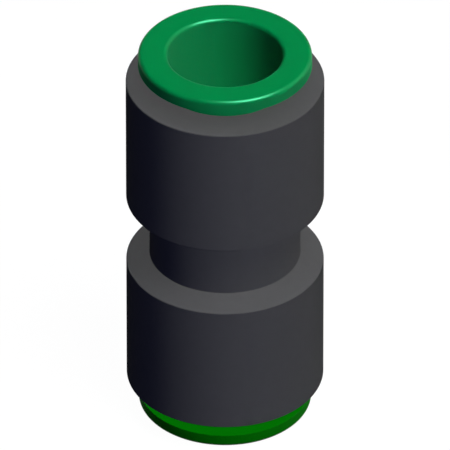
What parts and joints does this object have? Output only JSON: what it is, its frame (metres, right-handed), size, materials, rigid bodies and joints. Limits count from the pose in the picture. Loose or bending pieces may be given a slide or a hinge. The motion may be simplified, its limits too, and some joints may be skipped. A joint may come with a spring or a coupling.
{
  "type": "push-fit union",
  "caption": "Straight push-fit union for plastic tube: dark waisted body with a green release collet at each end that is pushed in to free the tube.",
  "frame": {"origin": "centre of the union, on its axis and in the middle of the tube stop", "axes": "+Z along the union's axis towards the upper collet; +X and +Y each run through the middle of a gripping finger"},
  "size_m": [0.0212, 0.0212, 0.0452],
  "materials": {
    "body_polymer": "fine moulded satin, charcoal",
    "emerald_acetal": "smooth moulded, emerald green",
    "leaf_green_acetal": "smooth moulded, leaf green",
    "natural_acetal": "moulded, natural white",
    "seal_rubber": "smooth black rubber",
    "stainless_steel": "bright rolled strip"
  },
  "bodies": {
    "fitting": {"body": "body_polymer", "upper_retaining_insert": "body_polymer", "upper_o_ring": "seal_rubber", "upper_spacer_ring": "natural_acetal", "lower_retaining_insert": "body_polymer", "lower_o_ring": "seal_rubber", "lower_spacer_ring": "natural_acetal"},
    "upper_collet": {"upper_release_collet": "emerald_acetal", "upper_grip_blade_1": "stainless_steel", "upper_grip_blade_2": "stainless_steel", "upper_grip_blade_3": "stainless_steel", "upper_grip_blade_4": "stainless_steel"},
    "lower_collet": {"lower_release_collet": "leaf_green_acetal", "lower_grip_blade_1": "stainless_steel", "lower_grip_blade_2": "stainless_steel", "lower_grip_blade_3": "stainless_steel", "lower_grip_blade_4": "stainless_steel"}
  },
  "joints": [
    {"name": "upper_collet_press", "type": "slide", "parent": "fitting", "child": "upper_collet", "axis": [0, 0, -1], "range_m": [0, 0.00195]},
    {"name": "lower_collet_press", "type": "slide", "parent": "fitting", "child": "lower_collet", "axis": [0, 0, 1], "range_m": [0, 0.00195]}
  ]
}
